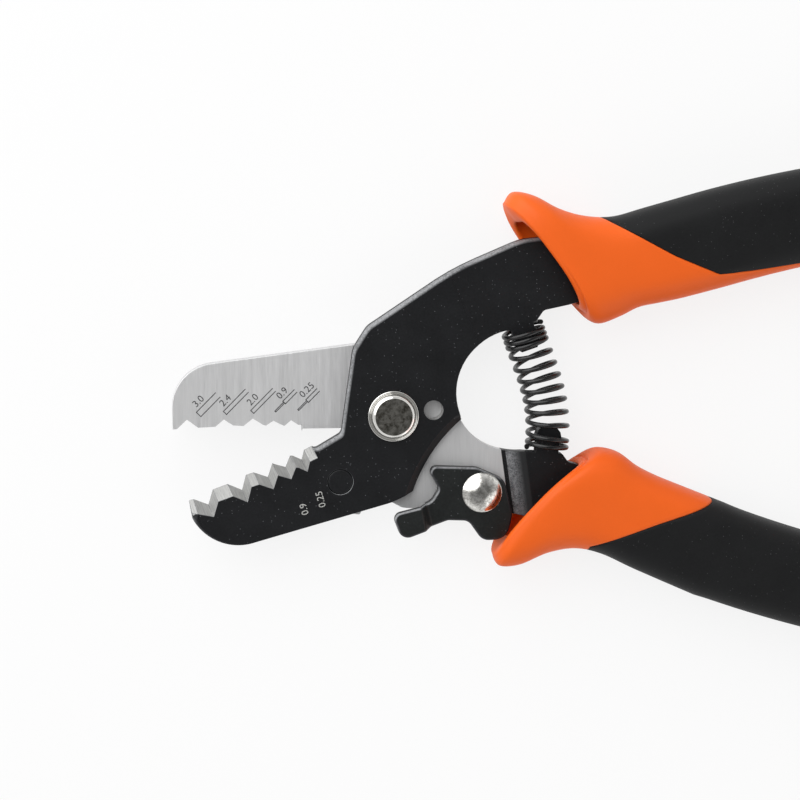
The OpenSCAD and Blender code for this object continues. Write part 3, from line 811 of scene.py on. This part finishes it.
def grip_pair(label, rows, outline, heading, side, body):
    around = 120
    table = grip_rows(rows, heading, side)
    split = split_rows(table, outline, around)
    last = len(table) - 1

    wall = [1.9 + 3.0 * max(0.0, math.cos(math.tau * j / around)) ** 3 for j in range(around)]

    def ring(row_of, inset=0.0, shift=Vector((0, 0, 0)), of_wall=0.0):
        return [skin_point(table, row_of(j), j / around, inset + of_wall * wall[j]) + shift
                for j in range(around)]

    first, second = table[0], table[8]
    ahead = Vector(((first[0] + first[2] - second[0] - second[2]) / 2,
                    (first[1] + first[3] - second[1] - second[3]) / 2, 0.0)).normalized()
    rings = [ring(lambda j: 22.0, 3.0, of_wall=1.0), ring(lambda j: 22.0, 0.6, of_wall=1.0)]
    rings += [ring(lambda j, s=s: s, of_wall=1.0) for s in (21, 19, 16, 13, 10, 7, 4, 2, 0.8)]
    for i in range(1, 8):
        a = math.radians(180 * (1 - i / 8))
        rings.append(ring(lambda j: 0.0, 0.0, ahead * 0.7 * math.sin(a), 0.5 * (1 - math.cos(a))))
    steps = 40
    rings += [ring(lambda j, t=i / steps: split[j] * t) for i in range(0, steps)]
    rings += [ring(lambda j: split[j] - 0.25), ring(lambda j: split[j] - 0.02, 0.14)]
    rings += [ring(lambda j: split[j], 1.5)]
    rings_to_skin(label + "_guard_shell", rings, [GUARD], body, label + "_guard")
    steps = 56
    rings = [ring(lambda j: split[j], 1.5), ring(lambda j: split[j] + 0.02, 0.16)]
    rings += [ring(lambda j: split[j] + 0.25)]
    rings += [ring(lambda j, t=i / steps: split[j] + 0.25 + (last - split[j] - 0.25) * t)
              for i in range(1, steps + 1)]
    rings_to_skin(label + "_grip_sleeve", rings, [GRIP], body, label + "_grip")


# ---------------------------------------------------------------- marks

def strips(name, lines, width, height, mat, body):
    """Thin flat strips from point to point on a level face."""
    bm = bmesh.new()
    for line in lines:
        for a, b in zip(line, line[1:]):
            a, b = Vector(a), Vector(b)
            d = (b - a).normalized()
            side = Vector((-d.y, d.x)) * width / 2
            a, b = a - d * width / 2, b + d * width / 2
            quad = [a + side, a - side, b - side, b + side]
            bm.faces.new([bm.verts.new((q.x * MM, q.y * MM, height * MM)) for q in quad])
    return settle(bm, name, [mat], body)


SLANT = Vector((1, 1)).normalized()
ACROSS = Vector((-SLANT.y, SLANT.x))
CABLES = [(-37.0, 0.6, 5.2, 0.6, 0.0), (-32.0, 0.8, 5.9, 0.42, 0.0), (-26.8, 0.9, 5.9, 0.4, 0.0),
          (-22.4, 0.9, 5.5, 0.36, 2.4), (-18.0, 1.1, 5.4, 0.36, 2.4)]


def cable_marks():
    """A small cable end beside each notch of the rear jaw, the last two with their inner core."""
    lines = []
    for x, y, length, half, core in CABLES:
        start = Vector((x, y))
        body = start + SLANT * core
        tail = SLANT * (length - core)
        lines.append([body + ACROSS * half + tail, body + ACROSS * half, body - ACROSS * half,
                      body - ACROSS * half + tail])
        if core:
            lines.append([body + ACROSS * 0.13, start + ACROSS * 0.13, start - ACROSS * 0.13,
                          body - ACROSS * 0.13])
    return strips("cable_marks", lines, 0.16, FACE + 0.008, MARK, "rear_lever")


def number(name, words, at, degrees, size, height, mat, body):
    """Plain digits as a thin skin on a level face."""
    data = bpy.data.curves.new(name, "FONT")
    data.body = words
    data.size = size * MM
    data.resolution_u = 4
    text = bpy.data.objects.new(name, data)
    bpy.context.scene.collection.objects.link(text)
    bpy.context.view_layer.update()
    mesh = bpy.data.meshes.new_from_object(text)
    bpy.data.objects.remove(text)
    mesh.transform(Matrix.Translation(Vector((at[0], at[1], height)) * MM)
                   @ Matrix.Rotation(math.radians(degrees), 4, "Z"))
    bm = bmesh.new()
    bm.from_mesh(mesh)
    bpy.data.meshes.remove(mesh)
    return settle(bm, name, [mat], body)


def size_numbers():
    for index, ((x, y, length, half, core), words) in enumerate(zip(CABLES, ("3.0", "2.4", "2.0", "0.9", "0.25"))):
        spot = Vector((x, y)) + SLANT * (0.6 + core * 0.7) + ACROSS * (half + 0.6)
        number(f"rear_number_{index + 1}", words, spot, 45, 1.9, FACE + 0.008, MARK, "rear_lever")
    for index, (spot, words) in enumerate((((-16.3, -18.7), "0.9"), ((-13.0, -17.3), "0.25"))):
        number(f"front_number_{index + 1}", words, spot, 105, 1.9, PIVOT_HEAD + 0.008, PALE_MARK, "front_lever")


# ---------------------------------------------------------------- stage

def place_camera():
    data = bpy.data.cameras.new("camera")
    data.lens, data.sensor_width = 95.94, 36.0
    data.clip_start, data.clip_end = 0.01, 10.0
    camera = bpy.data.objects.new("camera", data)
    bpy.context.scene.collection.objects.link(camera)
    target = Vector((1.6, 2.7, 7.5))
    back = Vector((-0.12, 0.15, 1.0)).normalized()
    right = (-back).cross(Vector((0, 1, 0))).normalized()
    up = right.cross(-back)
    turn = Matrix((right, up, back)).transposed().to_4x4()
    camera.matrix_world = Matrix.Translation((target + back * 410) * MM) @ turn
    bpy.context.scene.camera = camera


def lamp(name, place, aim, size, power, shape="RECTANGLE", depth=None):
    data = bpy.data.lights.new(name, "AREA")
    data.shape = shape
    data.size, data.size_y = size, depth or size
    data.energy = power
    lamp_object = bpy.data.objects.new(name, data)
    bpy.context.scene.collection.objects.link(lamp_object)
    lamp_object.location = place
    lamp_object.rotation_mode = "QUATERNION"
    lamp_object.rotation_quaternion = (Vector(aim) - Vector(place)).to_track_quat("-Z", "Y")
    return lamp_object


def studio():
    centre = (0.03, 0.0, 0.0)
    lamp("key", (-0.44, 0.46, 0.46), centre, 1.25, 9.0, "DISK")
    lamp("fill", (0.6, -0.5, 0.4), centre, 0.9, 1.8, "DISK")
    world = bpy.data.worlds.new("studio")
    bpy.context.scene.world = world
    world.use_nodes = True
    tree = world.node_tree
    back = tree.nodes["Background"]
    path = tree.nodes.new("ShaderNodeLightPath")
    ways = add(tree, "ShaderNodeSeparateXYZ")
    tree.links.new(tree.nodes.new("ShaderNodeTexCoord").outputs["Generated"], ways.inputs[0])
    sky = remap(tree, ways.outputs["Z"], 0.35, 0.95, 0.58, 0.24)
    mirrored = math_node(tree, "MAXIMUM", path.outputs["Is Glossy Ray"], path.outputs["Is Transmission Ray"])
    backdrop = math_node(tree, "MULTIPLY", mirrored, remap(tree, ways.outputs["Z"], 0.3, 0.8, 1.0, 0.24))
    white = math_node(tree, "MAXIMUM", math_node(tree, "MAXIMUM", sky, backdrop), path.outputs["Is Camera Ray"])
    back.inputs["Color"].default_value = (1, 1, 1, 1)
    tree.links.new(white, back.inputs["Strength"])
    mat = bpy.data.materials.new("white_floor")
    mat.use_nodes = True
    tree = mat.node_tree
    shader = tree.nodes["Principled BSDF"]
    shader.inputs["Base Color"].default_value = (0.9, 0.9, 0.9, 1)
    shader.inputs["Roughness"].default_value = 0.9
    shader.inputs["Specular IOR Level"].default_value = 0.0
    glow = add(tree, "ShaderNodeEmission", in_Strength=1.0)
    mix = tree.nodes.new("ShaderNodeMixShader")
    path = tree.nodes.new("ShaderNodeLightPath")
    seen = math_node(tree, "MAXIMUM", path.outputs["Is Camera Ray"], path.outputs["Is Glossy Ray"])
    share = math_node(tree, "MULTIPLY", math_node(tree, "MAXIMUM", seen, path.outputs["Is Transmission Ray"]), 0.82)
    tree.links.new(share, mix.inputs[0])
    tree.links.new(shader.outputs[0], mix.inputs[1])
    tree.links.new(glow.outputs[0], mix.inputs[2])
    tree.links.new(mix.outputs[0], tree.nodes["Material Output"].inputs["Surface"])
    bm = bmesh.new()
    bmesh.ops.create_grid(bm, x_segments=1, y_segments=1, size=3.0)
    bmesh.ops.translate(bm, verts=bm.verts, vec=(0, 0, -0.0002))
    mesh = bpy.data.meshes.new("floor")
    bm.to_mesh(mesh)
    bm.free()
    mesh.materials.append(mat)
    floor = bpy.data.objects.new("floor", mesh)
    bpy.context.scene.collection.objects.link(floor)


front_plate()
rear_plate()
pivot_bolt()
finished_copy("pivot_washer", "pivot_washer_ring", [ZINC], "front_lever", 0.12)
finished_copy("pivot_nut", "pivot_nut_hex", [ZINC], "front_lever", 0.12)
finished_copy("stop_pin", "stop_pin_flush", [BLACK, EDGE_WEAR_AND_HIGHLIGHT], "front_lever", 0.35)
lock_piece()
finished_copy("lock_washer", "lock_washer_ring", [ZINC], "rear_lever", 0.05)
lock_rivet()
return_spring()
grip_pair("upper", UPPER_ROWS, UPPER_SIDE, 15.0, 1, "front_lever")
grip_pair("lower", LOWER_ROWS, LOWER_SIDE, -21.5, -1, "rear_lever")
cable_marks()
size_numbers()
place_camera()
studio()

bpy.context.scene.view_settings.view_transform = "Standard"
